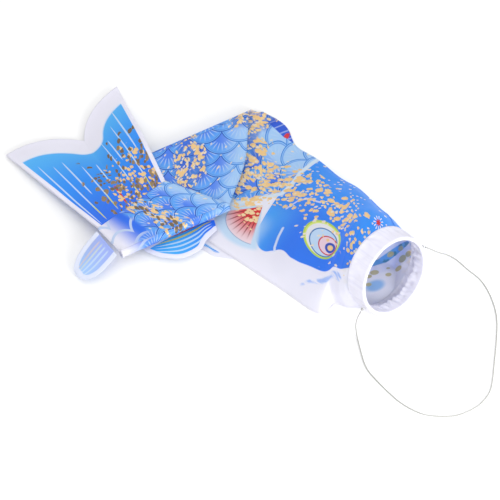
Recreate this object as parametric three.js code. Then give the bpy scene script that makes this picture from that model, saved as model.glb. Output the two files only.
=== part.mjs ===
// A small carp streamer (a windsock in the shape of a carp) lying folded in three on a flat surface.
// The mouth hoop stands at one end, the flattened body is folded back twice, and the tail fin lies on top.
// Millimetres, +Z up. The origin is the middle of the footprint, on the surface it lies on.
import * as THREE from "three";

const CLOTH = 0.6; // thickness of every cloth solid
const EDGE_GAP = 1.1; // half the distance between the two layers at a sewn edge
const FOLD_GAP = 1.75; // the same at a fold
const SEAM_RADIUS = 0.5;

// The mouth: a wire hoop in a turned hem.
const HOOP_RADIUS = 40.5;
const WIRE_RADIUS = 1.1;
const HOOP_CENTRE = new THREE.Vector3(142.5, -59.9, 41);
const TO_DORSAL = new THREE.Vector3(0.357, 0.645, 0.675).normalize();
const TO_RIGHT_SIDE = new THREE.Vector3(-0.6585, -0.3384, 0.6715).normalize();
const OUT_OF_MOUTH = TO_DORSAL.clone().cross(TO_RIGHT_SIDE).normalize();
const INTO_TUBE = new THREE.Vector3(-0.757, 0.653, 0); // level, from the hoop back along the body
const HEM_RADIUS = 1.9; // of the hem's cloth round the wire
const HEM_WIDTH = 19;
const HEM_INNER_WIDTH = 11;
const NECK_START = 20; // how far behind the hoop the body's cloth begins
const NECK_RADIUS = 42.8;
const HEM_LOW = 0.3; // lowest middle of the outer cloth of the hem
const HEM_INNER_LOW = 1.7;
const KNOT_RADIUS = 1.5;
const KNOT_REACH = 45.8; // from the hoop's centre
const KNOT_SETBACK = 5;
const KNOT_ANGLES = { bridle_knot_dorsal: -45, bridle_knot_belly: 155 };

// The two sewn edges of the head section, from the hem to the first fold: belly, dorsal, crown, roundness.
const HEAD_STATIONS = [
    { belly: [99, -71, 3], dorsal: [138, -2, 61], crown: 42, round: 0.95 },
    { belly: [84, -66, 1.8], dorsal: [129, 13, 53], crown: 38, round: 0.8 },
    { belly: [68, -77, 1.4], dorsal: [109.7, 48.7, 35], crown: 29, round: 0.6 },
    { belly: [33, -49, 1.4], dorsal: [90, 73.9, 20], crown: 24, round: 0.4 },
    { belly: [-5, -18.6, 1.4], dorsal: [68, 106.9, 5], crown: 9, round: 0.2 },
    { belly: [-45, 13.4, 1.4], dorsal: [46.5, 125.9, 1.6], crown: 2.6, round: 0 },
    { belly: [-67, 31, 1.4], dorsal: [37.5, 148, 1.6], crown: 2.4, round: 0 },
    { belly: [-90, 49.4, 1.4], dorsal: [27, 159, 1.8], crown: 2, round: 0 },
    { belly: [-136.5, 86.8, 2.75], dorsal: [12.5, 166.8, 2.75], crown: 0, round: 0 },
];
const UPRIGHT_STATION = 4; // from here on the two layers lie one above the other

// The folds: each is a line on the plan, with its height.
const FOLD_ANGLE = THREE.MathUtils.degToRad(28.2);
const ALONG_FOLD = new THREE.Vector3(Math.cos(FOLD_ANGLE), Math.sin(FOLD_ANGLE), 0);
const TAILWARD = new THREE.Vector3(-Math.sin(FOLD_ANGLE), Math.cos(FOLD_ANGLE), 0);
const FOLD_ONE = { belly: [-136.9, 87.2, 6.5], length: 153, finLength: 169.5, inner: 2, outer: 5.5 };
const FOLD_TWO = { belly: [-129.3, -13.2, 13.5], length: 122, finLength: 122, inner: 1.5, outer: 5 };
const MID_LEVEL = 10.25; // height of the middle section's sewn edges
const TAIL_LEVEL = 16.75;
const MID_DORSAL_BOW = [[-4.5, 111], [-9.3, 86], [-17, 62]];

// The tail section's end, where the tail fin is sewn on, and the fin's trailing edge.
const FIN_ROOT_BELLY = [-151.6, 15.4, 15.6];
const FIN_ROOT_DORSAL = [-85, 72.3, 16.9];
const TIP_BELLY = [-245.9, 114.3];
const TIP_DORSAL = [-134.7, 199.1];
const NOTCH = [-167.1, 131.3];
const BOW_BELLY = [-210.5, 140.8];
const BOW_DORSAL = [-169.9, 166.6];
const FIN_DROP = 12.5; // from the root to the tips
const FIN_ROOT_GAP = 1.0;
const FIN_TIP_GAP = 0.7;
const FIN_CLEARANCE = 0.8; // between the tail section and the fin

// The loose fins, as outlines on the plan.
const PECTORAL_RIGHT = {
    outline: [[-33, 21], [-43, 8], [-49.5, -4.2], [-67, -14], [-87, -12.7], [-107, -1.8],
        [-100, 6], [-70, 22], [-38, 38]],
    height: 6.6,
};
const PECTORAL_LEFT = {
    outline: [[-13, -12.6], [-24.2, -9.1], [-37, -6.8], [-46, 0], [-60, 6], [-78, 16],
        [-84, 31], [-70, 30], [-52, 16.6], [-33, 1.4]],
    height: 0.3,
};
const PELVIC = {
    outline: [[-153.3, 12.5], [-166, -4], [-174.5, -21], [-171, -35], [-161, -41], [-146, -33],
        [-132.5, -16.5]],
    rootHeight: 15.2,
    tipHeight: 2.4,
};

const CORD_RADIUS = 0.6;
// The bridle, from the knot on the dorsal side down to the surface, round the loop and back up.
const CORD_ROUTE = [
    [174.2, -24.2, 39.5], [180.5, -20.5, 30], [186, -15.5, 19], [191, -10.8, 9.5],
    [197, -8.6, 3.4], [206, -12.6, 1],
    [217.5, -24.6, 0.7], [229.4, -36.6, 0.7], [237.4, -51.2, 0.7], [243, -68.8, 0.7],
    [245.4, -86.4, 0.7], [244.6, -109.7, 0.7], [242.2, -135, 0.7], [239.8, -158.4, 0.7],
    [236.4, -173, 0.7], [227, -186.5, 0.7], [215.9, -194.4, 0.7], [204.7, -199.3, 0.7],
    [193.5, -200.8, 0.7], [177.6, -199.7, 0.7], [164.8, -195.4, 0.7], [145.7, -181.7, 0.7],
    [121.8, -153.5, 0.7], [113.8, -138.9, 0.7], [109, -119.4, 0.8], [106, -104, 1.6],
    [105, -96, 6.5], [106.5, -92.5, 14], [109.8, -90.5, 22.6],
];
const CORD_STEPS = 78;
const CORD_SIDES = 8;

const COLOURS = {
    print: [0x2f7fe8, 0.5, 0],
    pale: [0xdfe4f6, 0.55, 0],
    seam: [0xf1effa, 0.7, 0],
    fin: [0x52acf2, 0.5, 0],
    wire: [0xb9bcc2, 0.35, 0.9],
    cord: [0xf4f4f4, 0.6, 0],
};

const streamer = new THREE.Group();

function add(name, geometry, finish, parent = streamer) {
    const [color, roughness, metalness] = COLOURS[finish];
    const mesh = new THREE.Mesh(geometry, new THREE.MeshStandardMaterial({ color, roughness, metalness }));
    mesh.name = name;
    parent.add(mesh);
    return mesh;
}

const point = (list) => new THREE.Vector3(list[0], list[1], list[2] ?? 0);
const mix = THREE.MathUtils.lerp;

// Unit normal of a surface(a, b), from two short steps inside the unit square.
function normalOf(surface, a, b) {
    const step = 1e-3;
    const alongA = surface(Math.min(a + step, 1), b).sub(surface(Math.max(a - step, 0), b));
    const alongB = surface(a, Math.min(b + step, 1)).sub(surface(a, Math.max(b - step, 0)));
    return alongA.cross(alongB).normalize();
}

// A closed sheet of cloth whose middle is surface(a, b), with a and b from 0 to 1.
function clothSheet(surface, stepsA, stepsB) {
    const geometry = new THREE.BoxGeometry(1, 1, 1, stepsA, stepsB, 1);
    const place = geometry.attributes.position;
    for (let i = 0; i < place.count; i += 1) {
        const a = place.getX(i) + 0.5;
        const b = place.getY(i) + 0.5;
        const offset = normalOf(surface, a, b).multiplyScalar(place.getZ(i) * CLOTH);
        const spot = surface(a, b).add(offset);
        place.setXYZ(i, spot.x, spot.y, spot.z);
    }
    return geometry;
}

// A level flat sheet cut to an outline; heightAt tilts or bends it.
function flatFin(outline, heightAt) {
    const shape = new THREE.Shape(outline.map(([x, y]) => new THREE.Vector2(x, y)));
    const geometry = new THREE.ExtrudeGeometry(shape, { depth: CLOTH, bevelEnabled: false });
    const place = geometry.attributes.position;
    for (let i = 0; i < place.count; i += 1) {
        const lift = heightAt(place.getX(i), place.getY(i));
        place.setZ(i, place.getZ(i) - CLOTH / 2 + lift);
    }
    return geometry;
}

function tube(curve, radius, steps, sides = 6) {
    const section = new THREE.Shape();
    for (let i = 0; i < sides; i += 1) {
        const angle = (2 * Math.PI * i) / sides;
        section[i === 0 ? "moveTo" : "lineTo"](radius * Math.cos(angle), radius * Math.sin(angle));
    }
    return new THREE.ExtrudeGeometry(section, { steps, bevelEnabled: false, extrudePath: curve });
}

// ---- mouth: hoop, hem and knots ----

// A point round the hoop: angle from the dorsal side, radius, and distance out of the mouth or, below 0, back.
function atHoop(angle, radius, forward) {
    return HOOP_CENTRE.clone()
        .addScaledVector(TO_DORSAL, radius * Math.cos(angle))
        .addScaledVector(TO_RIGHT_SIDE, radius * Math.sin(angle))
        .addScaledVector(OUT_OF_MOUTH, Math.max(forward, 0))
        .addScaledVector(INTO_TUBE, Math.max(-forward, 0));
}

function hoopGroup() {
    const group = new THREE.Group();
    group.applyMatrix4(new THREE.Matrix4().makeBasis(TO_DORSAL, TO_RIGHT_SIDE, OUT_OF_MOUTH));
    group.position.copy(HOOP_CENTRE);
    streamer.add(group);
    return group;
}

// Radius and forward distance along the hem's cloth, from its outer back edge round the wire to the inside.
function hemProfile(along) {
    const arcStart = 0.42;
    const arcEnd = 0.6;
    if (along < arcStart) return [HOOP_RADIUS + HEM_RADIUS, -HEM_WIDTH * (1 - along / arcStart)];
    if (along > arcEnd) {
        return [HOOP_RADIUS - HEM_RADIUS, (-HEM_INNER_WIDTH * (along - arcEnd)) / (1 - arcEnd)];
    }
    const turn = (Math.PI * (along - arcStart)) / (arcEnd - arcStart);
    return [HOOP_RADIUS + HEM_RADIUS * Math.cos(turn), HEM_RADIUS * Math.sin(turn)];
}

function hemGeometry() {
    const around = 40;
    const profileSteps = [0, 0.2, 0.38, 0.42, 0.465, 0.51, 0.555, 0.6, 0.66, 0.8, 1];
    const sideOffset = (j) => {
        const step = 1e-3;
        const before = hemProfile(Math.max(profileSteps[j] - step, 0));
        const after = hemProfile(Math.min(profileSteps[j] + step, 1));
        const length = Math.hypot(after[0] - before[0], after[1] - before[1]);
        return [(after[1] - before[1]) / length, -(after[0] - before[0]) / length];
    };
    const ring = [];
    profileSteps.forEach((along, j) => ring.push([along, sideOffset(j), 1]));
    [...profileSteps].reverse().forEach((along, j) => {
        ring.push([along, sideOffset(profileSteps.length - 1 - j), -1]);
    });
    const places = [];
    for (let i = 0; i < around; i += 1) {
        const angle = (2 * Math.PI * i) / around;
        for (const [along, [across, ahead], side] of ring) {
            const [radius, forward] = hemProfile(along);
            const half = (side * CLOTH) / 2;
            const spot = atHoop(angle, radius + across * half, forward + ahead * half);
            const lowest = along < 0.5 ? HEM_LOW : HEM_INNER_LOW;
            const outside = along < 0.5 ? -half : half;
            spot.z = Math.max(spot.z, lowest + outside);
            places.push(spot.x, spot.y, spot.z);
        }
    }
    const index = [];
    const count = ring.length;
    for (let i = 0; i < around; i += 1) {
        const next = (i + 1) % around;
        for (let j = 0; j < count; j += 1) {
            const up = (j + 1) % count;
            const corners = [i * count + j, i * count + up, next * count + up, next * count + j];
            index.push(corners[0], corners[2], corners[1], corners[0], corners[3], corners[2]);
        }
    }
    const geometry = new THREE.BufferGeometry();
    geometry.setAttribute("position", new THREE.Float32BufferAttribute(places, 3));
    geometry.setIndex(index);
    return geometry;
}

function addMouth() {
    const group = hoopGroup();
    add("mouth_hoop", new THREE.TorusGeometry(HOOP_RADIUS, WIRE_RADIUS, 8, 40), "wire", group);
    add("mouth_hem", hemGeometry(), "pale");
    for (const [name, degrees] of Object.entries(KNOT_ANGLES)) {
        const knot = add(name, new THREE.SphereGeometry(KNOT_RADIUS, 10, 7), "cord");
        knot.position.copy(atHoop(THREE.MathUtils.degToRad(degrees), KNOT_REACH, -KNOT_SETBACK));
    }
}

// ---- body: three flattened sections, two layers each ----

function stationAt(s) {
    const start = {
        belly: atHoop(Math.PI, NECK_RADIUS, -NECK_START).toArray(),
        dorsal: atHoop(0, NECK_RADIUS, -NECK_START).toArray(),
        crown: NECK_RADIUS - EDGE_GAP,
        round: 1,
    };
    return [start, ...HEAD_STATIONS][s];
}

const STATION_COUNT = HEAD_STATIONS.length + 1;
const stations = Array.from({ length: STATION_COUNT }, (_, s) => stationAt(s));
const bellyEdge = new THREE.CatmullRomCurve3(stations.map((s) => point(s.belly)), false, "centripetal");
const dorsalEdge = new THREE.CatmullRomCurve3(stations.map((s) => point(s.dorsal)), false, "centripetal");

function stationValue(key, s) {
    const place = s * (STATION_COUNT - 1);
    const low = Math.min(Math.floor(place), STATION_COUNT - 2);
    return mix(stations[low][key], stations[low + 1][key], place - low);
}

// One layer of the head section: side is 1 for the right-side cloth above and -1 for the left one below.
function headLayer(side) {
    return (s, t) => {
        const belly = bellyEdge.getPoint(s);
        const dorsal = dorsalEdge.getPoint(s);
        const round = stationValue("round", s);
        const across = mix(t, 0.5 - 0.5 * Math.cos(Math.PI * t), round);
        const upright = Math.min(1, (s * (STATION_COUNT - 1)) / UPRIGHT_STATION);
        const away = TO_RIGHT_SIDE.clone().lerp(new THREE.Vector3(0, 0, 1), upright).normalize();
        const gap = mix(EDGE_GAP, FOLD_GAP, THREE.MathUtils.smoothstep(s, 0.75, 1));
        const swell = stationValue("crown", s) * Math.sin(Math.PI * t) + gap;
        const spot = belly.lerp(dorsal, across).addScaledVector(away, side * swell);
        spot.z = Math.max(spot.z, CLOTH / 2);
        return spot;
    };
}

// A section between two lines, each given by its belly and dorsal ends.
function sectionLayer(bellyLine, dorsalLine, gaps, crown, side) {
    return (s, t) => {
        const spot = bellyLine.getPoint(s).lerp(dorsalLine.getPoint(s), t);
        const swell = crown * Math.sin(Math.PI * s) * Math.sin(Math.PI * t);
        spot.z += side * (mix(gaps[0], gaps[1], s) + swell);
        return spot;
    };
}

function foldEnd(fold, length, z) {
    const spot = point(fold.belly).addScaledVector(ALONG_FOLD, length);
    spot.z = z;
    return spot;
}

const END_GAP = 0.4; // between a section and the cloth that turns round a fold
const insideFold = (spot, towardHead) => spot.addScaledVector(TAILWARD, towardHead * END_GAP);

const midBelly = new THREE.CatmullRomCurve3([
    insideFold(foldEnd(FOLD_ONE, 0, MID_LEVEL), -1),
    insideFold(foldEnd(FOLD_TWO, 0, MID_LEVEL), 1),
]);
const midDorsal = new THREE.CatmullRomCurve3([
    insideFold(foldEnd(FOLD_ONE, FOLD_ONE.length, MID_LEVEL), -1),
    ...MID_DORSAL_BOW.map(([x, y]) => new THREE.Vector3(x, y, MID_LEVEL)),
    insideFold(foldEnd(FOLD_TWO, FOLD_TWO.length, MID_LEVEL), 1),
]);
const tailBelly = new THREE.LineCurve3(
    insideFold(foldEnd(FOLD_TWO, 0, TAIL_LEVEL), 1),
    point(FIN_ROOT_BELLY),
);
const tailDorsal = new THREE.LineCurve3(
    insideFold(foldEnd(FOLD_TWO, FOLD_TWO.length, TAIL_LEVEL), 1),
    point(FIN_ROOT_DORSAL),
);

// Cloth that turns half round a fold line, from the lower section to the upper one.
function foldBand(fold, radius, outward, lowEnd, highEnd) {
    const spread = Math.PI / 2 - END_GAP / radius;
    return (a, b) => {
        const angle = mix(-spread, spread, a);
        const length = mix(lowEnd, highEnd, a) * b;
        return point(fold.belly)
            .addScaledVector(ALONG_FOLD, length)
            .addScaledVector(TAILWARD, outward * radius * Math.cos(angle))
            .add(new THREE.Vector3(0, 0, radius * Math.sin(angle)));
    };
}

function addBody() {
    add("head_cloth_right", clothSheet(headLayer(1), 18, 9), "print");
    add("head_cloth_left", clothSheet(headLayer(-1), 18, 9), "print");
    const mid = (side) => sectionLayer(midBelly, midDorsal, [FOLD_GAP, FOLD_GAP], 0.6, side);
    add("mid_cloth_left", clothSheet(mid(1), 8, 6), "print");
    add("mid_cloth_right", clothSheet(mid(-1), 8, 6), "print");
    const tail = (side) => sectionLayer(tailBelly, tailDorsal, [FOLD_GAP, EDGE_GAP], 0.5, side);
    add("tail_cloth_right", clothSheet(tail(1), 6, 6), "print");
    add("tail_cloth_left", clothSheet(tail(-1), 6, 6), "print");
    const bands = [
        ["fold_one_cloth_left", FOLD_ONE, FOLD_ONE.outer, 1],
        ["fold_one_cloth_right", FOLD_ONE, FOLD_ONE.inner, 1],
        ["fold_two_cloth_right", FOLD_TWO, FOLD_TWO.outer, -1],
        ["fold_two_cloth_left", FOLD_TWO, FOLD_TWO.inner, -1],
    ];
    for (const [name, fold, radius, outward] of bands) {
        add(name, clothSheet(foldBand(fold, radius, outward, fold.finLength, fold.length), 6, 4), "print");
    }
}

function addSeams() {
    add("head_seam_belly", tube(bellyEdge, SEAM_RADIUS, 22), "seam");
    add("head_seam_dorsal", tube(dorsalEdge, SEAM_RADIUS, 22), "seam");
    add("mid_seam_belly", tube(midBelly, SEAM_RADIUS, 4), "seam");
    add("mid_seam_dorsal", tube(midDorsal, SEAM_RADIUS, 10), "seam");
    add("tail_seam_belly", tube(tailBelly, SEAM_RADIUS, 2), "seam");
    add("tail_seam_dorsal", tube(tailDorsal, SEAM_RADIUS, 4), "seam");
}

// ---- fins ----

const trailingBelly = new THREE.QuadraticBezierCurve3(point(TIP_BELLY), point(BOW_BELLY), point(NOTCH));
const trailingDorsal = new THREE.QuadraticBezierCurve3(point(NOTCH), point(BOW_DORSAL), point(TIP_DORSAL));

function tailFinLayer(side) {
    const rootBelly = point(FIN_ROOT_BELLY);
    const rootDorsal = point(FIN_ROOT_DORSAL);
    const outward = new THREE.Vector3(rootBelly.y - rootDorsal.y, rootDorsal.x - rootBelly.x, 0).normalize();
    return (a, b) => {
        const root = rootBelly.clone().lerp(rootDorsal, b).addScaledVector(outward, FIN_CLEARANCE);
        const half = b < 0.5 ? trailingBelly : trailingDorsal;
        const edge = half.getPoint(b < 0.5 ? 2 * b : 2 * b - 1);
        const spot = root.clone().lerp(new THREE.Vector3(edge.x, edge.y, root.z), a);
        const late = THREE.MathUtils.smootherstep(a, 0.3, 1);
        spot.z -= FIN_DROP * mix(a, late, b);
        spot.z += side * mix(FIN_ROOT_GAP, FIN_TIP_GAP, a);
        return spot;
    };
}

function addFins() {
    add("tail_fin_right", clothSheet(tailFinLayer(1), 8, 12), "fin");
    add("tail_fin_left", clothSheet(tailFinLayer(-1), 8, 12), "fin");
    add("pectoral_fin_right", flatFin(PECTORAL_RIGHT.outline, () => PECTORAL_RIGHT.height), "fin");
    add("pectoral_fin_left", flatFin(PECTORAL_LEFT.outline, () => PECTORAL_LEFT.height), "fin");
    const start = new THREE.Vector2(...PELVIC.outline[0]);
    const edge = new THREE.Vector2(...PELVIC.outline.at(-1)).sub(start).normalize();
    const reach = (x, y) => Math.abs((x - start.x) * edge.y - (y - start.y) * edge.x);
    const farthest = Math.max(...PELVIC.outline.map(([x, y]) => reach(x, y)));
    const height = (x, y) => mix(PELVIC.rootHeight, PELVIC.tipHeight, reach(x, y) / farthest);
    add("pelvic_fin", flatFin(PELVIC.outline, height), "pale");
}

function addBridle() {
    const route = new THREE.CatmullRomCurve3(CORD_ROUTE.map(point), false, "centripetal");
    add("bridle_cord", tube(route, CORD_RADIUS, CORD_STEPS, CORD_SIDES), "cord");
}

addMouth();
addBody();
addSeams();
addFins();
addBridle();

// Stand the streamer on the origin: the bridle and its knots don't count.
const footprint = new THREE.Box3();
for (const mesh of streamer.children.filter((child) => !child.name.startsWith("bridle"))) {
    footprint.expandByObject(mesh, true);
}
const middle = footprint.getCenter(new THREE.Vector3());
streamer.position.set(-middle.x, -middle.y, -footprint.min.z);

export default streamer;
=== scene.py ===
"""A small carp streamer, folded in three and laid on a pale floor, dressed in its printed satin."""
import math

import bpy
import numpy as np
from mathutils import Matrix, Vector, noise


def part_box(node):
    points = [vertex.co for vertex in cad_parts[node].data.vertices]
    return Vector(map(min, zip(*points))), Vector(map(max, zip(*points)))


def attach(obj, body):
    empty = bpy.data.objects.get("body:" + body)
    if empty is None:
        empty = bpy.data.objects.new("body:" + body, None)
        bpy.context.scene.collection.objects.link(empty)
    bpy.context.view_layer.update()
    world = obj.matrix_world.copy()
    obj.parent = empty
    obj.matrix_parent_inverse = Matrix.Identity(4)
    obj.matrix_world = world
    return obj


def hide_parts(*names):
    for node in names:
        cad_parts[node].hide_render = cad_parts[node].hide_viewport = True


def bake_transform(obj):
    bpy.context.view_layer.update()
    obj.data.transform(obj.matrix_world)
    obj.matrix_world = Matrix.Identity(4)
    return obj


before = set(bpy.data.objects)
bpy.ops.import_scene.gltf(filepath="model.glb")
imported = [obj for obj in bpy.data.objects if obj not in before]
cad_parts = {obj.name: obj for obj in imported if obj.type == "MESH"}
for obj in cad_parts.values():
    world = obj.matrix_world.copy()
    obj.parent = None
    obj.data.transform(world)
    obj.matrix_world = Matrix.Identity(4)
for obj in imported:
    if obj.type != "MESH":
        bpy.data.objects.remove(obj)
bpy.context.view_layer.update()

MM = 0.001


def unit(vector):
    return np.asarray(vector) / np.linalg.norm(vector)


# ---- layout: the same driving dimensions as the CAD model, in millimetres ----

HOOP_RADIUS = 40.5
HOOP_CENTRE = np.array([142.5, -59.9, 41])
TO_DORSAL = unit([0.357, 0.645, 0.675])
TO_RIGHT_SIDE = unit([-0.6585, -0.3384, 0.6715])
OUT_OF_MOUTH = unit(np.cross(TO_DORSAL, TO_RIGHT_SIDE))
INTO_TUBE = np.array([-0.757, 0.653, 0])  # level, from the hoop back along the body
HEM_RADIUS = 1.9
HEM_WIDTH = 19
HEM_INNER_WIDTH = 11
NECK_START = 18.4
NECK_RADIUS = 42.1
KNOTS = ["bridle_knot_dorsal", "bridle_knot_belly"]

# Along the head section from the hem to the first fold: belly edge, dorsal edge, crown, roundness.
HEAD_STATIONS = [
    ([99, -71, 3], [138, -2, 61], 42, 0.95),
    ([84, -66, 1.8], [129, 13, 53], 38, 0.8),
    ([68, -77, 1.4], [109.7, 48.7, 35], 29, 0.6),
    ([33, -49, 1.4], [90, 73.9, 20], 24, 0.4),
    ([-5, -18.6, 1.4], [68, 106.9, 5], 9, 0.2),
    ([-45, 13.4, 1.4], [46.5, 125.9, 1.6], 2.6, 0),
    ([-67, 31, 1.4], [37.5, 148, 1.6], 2.4, 0),
    ([-90, 49.4, 1.4], [27, 159, 1.8], 2, 0),
    ([-136.9, 87.2, 2.75], [12.5, 167.2, 2.75], 0, 0),
]
UPRIGHT_STATION = 4
EDGE_GAP = 1.1
FOLD_GAP = 1.75

FOLD_ANGLE = math.radians(28.2)
ALONG_FOLD = np.array([math.cos(FOLD_ANGLE), math.sin(FOLD_ANGLE), 0])
TAILWARD = np.array([-math.sin(FOLD_ANGLE), math.cos(FOLD_ANGLE), 0])
FOLD_ONE = {
    "belly": np.array([-136.9, 87.2, 6.5]), "length": 153, "lower_length": 169.5, "inner": 2, "outer": 5.5,
}
FOLD_TWO = {
    "belly": np.array([-129.3, -13.2, 13.5]), "length": 122, "lower_length": 122, "inner": 1.5, "outer": 5,
}
MID_LEVEL = 10.25
TAIL_LEVEL = 16.75
MID_DORSAL_BOW = [[-4.5, 111], [-9.3, 86], [-17, 62]]

FIN_ROOT_BELLY = np.array([-151.6, 15.4, 15.6])
FIN_ROOT_DORSAL = np.array([-85, 72.3, 16.9])
TIP_BELLY = np.array([-245.9, 114.3, 0])
TIP_DORSAL = np.array([-134.7, 199.1, 0])
NOTCH = np.array([-167.1, 131.3, 0])
BOW_BELLY = np.array([-210.5, 140.8, 0])
BOW_DORSAL = np.array([-169.9, 166.6, 0])
FIN_DROP = 12.5
FIN_ROOT_GAP = 1.0
FIN_TIP_GAP = 0.7

CORD_RADIUS = 0.6
CORD_ROUTE = [
    [174.2, -24.2, 39.5], [180.5, -20.5, 30], [186, -15.5, 19], [191, -10.8, 9.5],
    [197, -8.6, 3.4], [206, -12.6, 1],
    [217.5, -24.6, 0.7], [229.4, -36.6, 0.7], [237.4, -51.2, 0.7], [243, -68.8, 0.7],
    [245.4, -86.4, 0.7], [244.6, -109.7, 0.7], [242.2, -135, 0.7], [239.8, -158.4, 0.7],
    [236.4, -173, 0.7], [227, -186.5, 0.7], [215.9, -194.4, 0.7], [204.7, -199.3, 0.7],
    [193.5, -200.8, 0.7], [177.6, -199.7, 0.7], [164.8, -195.4, 0.7], [145.7, -181.7, 0.7],
    [121.8, -153.5, 0.7], [113.8, -138.9, 0.7], [109, -119.4, 0.8], [106, -104, 1.6],
    [105, -96, 6.5], [106.5, -92.5, 14], [109.8, -90.5, 22.6],
]

BODY_WIDTH = 145  # of each side of the body, from belly seam to dorsal seam
FISH_AXIS = np.array([0.780, -0.625])  # towards the mouth, on the plan
PRINT_START = np.array([141, -50.6])  # where the print's length is counted from
CLOTH = 0.35
SEAM_GAP = 0.45  # from the middle of the tube to each layer, along the sewn edges

hoop_low, hoop_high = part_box("mouth_hoop")
SHIFT = np.array((hoop_low + hoop_high) / 2) / MM - HOOP_CENTRE


def place(point):
    """A layout point in millimetres, as a point of the row frame in metres."""
    return Vector((np.asarray(point, float) + SHIFT) * MM)


# ---- mesh helpers ----


def spline(points, s):
    """Points of a Catmull-Rom curve at s, an array from 0 to 1."""
    points = np.asarray(points, float)
    padded = np.vstack([2 * points[0] - points[1], points, 2 * points[-1] - points[-2]])
    spot = np.clip(s, 0, 1) * (len(points) - 1)
    low = np.minimum(spot.astype(int), len(points) - 2)
    t = (spot - low)[:, None]
    a, b, c, d = (padded[low + i] for i in range(4))
    return 0.5 * (2 * b + (c - a) * t + (2 * a - 5 * b + 4 * c - d) * t**2 + (3 * b - a - 3 * c + d) * t**3)


def smooth(value, low, high):
    t = np.clip((np.asarray(value, float) - low) / (high - low), 0, 1)
    return t * t * (3 - 2 * t)


def ripple(points, size, seed):
    """Seeded smooth noise from -1 to 1 at each point."""
    offset = Vector((seed * 17.3, seed * 5.1, seed * 9.7))
    return np.array([noise.noise(Vector(p) / size + offset) for p in points])


def grid(name, count_a, count_b, surface, print_at, rim_at=None, turned=False):
    """A sheet of quads over surface(a, b), arrays from 0 to 1, with its print coordinates as a UV map."""
    a, b = np.meshgrid(np.linspace(0, 1, count_a + 1), np.linspace(0, 1, count_b + 1), indexing="ij")
    a, b = a.ravel(), b.ravel()
    points = surface(a, b)
    prints = print_at(a, b, points)
    row = count_b + 1
    faces = []
    for i in range(count_a):
        for j in range(count_b):
            k = i * row + j
            faces.append((k, k + 1, k + row + 1, k + row) if turned else (k, k + row, k + row + 1, k + 1))
    mesh = bpy.data.meshes.new(name)
    mesh.from_pydata([tuple((p + SHIFT) * MM) for p in points], [], faces)
    layer = mesh.uv_layers.new(name="print")
    corners = np.array([loop.vertex_index for loop in mesh.loops])
    layer.data.foreach_set("uv", prints[corners].astype(np.float32).ravel())
    if rim_at is not None:
        rim = mesh.attributes.new("rim", "FLOAT", "POINT")
        rim.data.foreach_set("value", rim_at(a, b, points).astype(np.float32))
    mesh.polygons.foreach_set("use_smooth", [True] * len(mesh.polygons))
    thing = bpy.data.objects.new(name, mesh)
    bpy.context.scene.collection.objects.link(thing)
    return thing


def thicken(thing, front, back, thickness=CLOTH):
    """Gives a sheet its thickness, with the print on one side and its paler back on the other."""
    thing.data.materials.append(front)
    thing.data.materials.append(back)
    solid = thing.modifiers.new("thickness", "SOLIDIFY")
    solid.thickness = thickness * MM
    solid.offset = 0
    solid.material_offset = 1
    solid.material_offset_rim = 0
    view = bpy.context.evaluated_depsgraph_get()
    mesh = bpy.data.meshes.new_from_object(thing.evaluated_get(view))
    thing.modifiers.clear()
    thing.data = mesh
    return thing


# ---- body surfaces ----


def at_hoop(angle, radius, forward):
    angle, radius, forward = (np.atleast_1d(np.asarray(x, float)) for x in (angle, radius, forward))
    return (
        HOOP_CENTRE
        + (radius * np.cos(angle))[:, None] * TO_DORSAL
        + (radius * np.sin(angle))[:, None] * TO_RIGHT_SIDE
        + np.maximum(forward, 0)[:, None] * OUT_OF_MOUTH
        + np.maximum(-forward, 0)[:, None] * INTO_TUBE
    )


STATIONS = [
    (
        at_hoop(math.pi, NECK_RADIUS, -NECK_START)[0],
        at_hoop(0, NECK_RADIUS, -NECK_START)[0],
        NECK_RADIUS - EDGE_GAP,
        1,
    )
] + HEAD_STATIONS
LAST = len(STATIONS) - 1
BELLY_EDGE = [s[0] for s in STATIONS]
DORSAL_EDGE = [s[1] for s in STATIONS]


def station_value(column, s):
    return np.interp(s * LAST, range(LAST + 1), [station[column] for station in STATIONS])


def drawn_together(t):
    """1 on the sewn edges and 0 away from them."""
    return smooth(np.minimum(t, 1 - t), 0.05, 0)


def head_layer(side):
    """One layer of the head section: side is 1 for the right-side cloth above, -1 for the left one."""

    def surface(s, t):
        belly = spline(BELLY_EDGE, s)
        dorsal = spline(DORSAL_EDGE, s)
        roundness = station_value(3, s)
        across = t * (1 - roundness) + (0.5 - 0.5 * np.cos(np.pi * t)) * roundness
        upright = np.minimum(1, s * LAST / UPRIGHT_STATION)[:, None]
        away = TO_RIGHT_SIDE * (1 - upright) + np.array([0, 0, 1]) * upright
        away /= np.linalg.norm(away, axis=1)[:, None]
        gap = EDGE_GAP + (FOLD_GAP - EDGE_GAP) * smooth(s, 0.75, 1)
        gap += (SEAM_GAP - gap) * drawn_together(t) * smooth(s, 1, 0.93)
        swell = station_value(2, s) * np.sin(np.pi * t) + gap
        points = belly + (dorsal - belly) * across[:, None] + away * (side * swell)[:, None]
        points = crinkle(points, away * side, s, t)
        points[:, 2] = np.maximum(points[:, 2], 0.3)
        return points

    return surface


def crinkle(points, away, s, t):
    """Gathers behind the hem, soft waves over the cloth and small creases, fading at the edges."""
    inside = smooth(t, 0, 0.12) * smooth(1 - t, 0, 0.12) * smooth(1 - s, 0, 0.08)
    behind_hem = smooth(s, 0, 0.03) * (1 - smooth(s, 0.08, 0.24))
    gathers = np.sin(t * 31 + 2.2 * np.sin(t * 9)) * (0.6 + 0.4 * np.sin(t * 17))
    waves = ripple(points, 42, 1)
    creases = ripple(points, 13, 2)
    lift = inside * (1.6 * waves + 0.35 * creases) * smooth(s, 0, 0.05) + 0.9 * gathers * behind_hem
    return points + away * lift[:, None]


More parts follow.
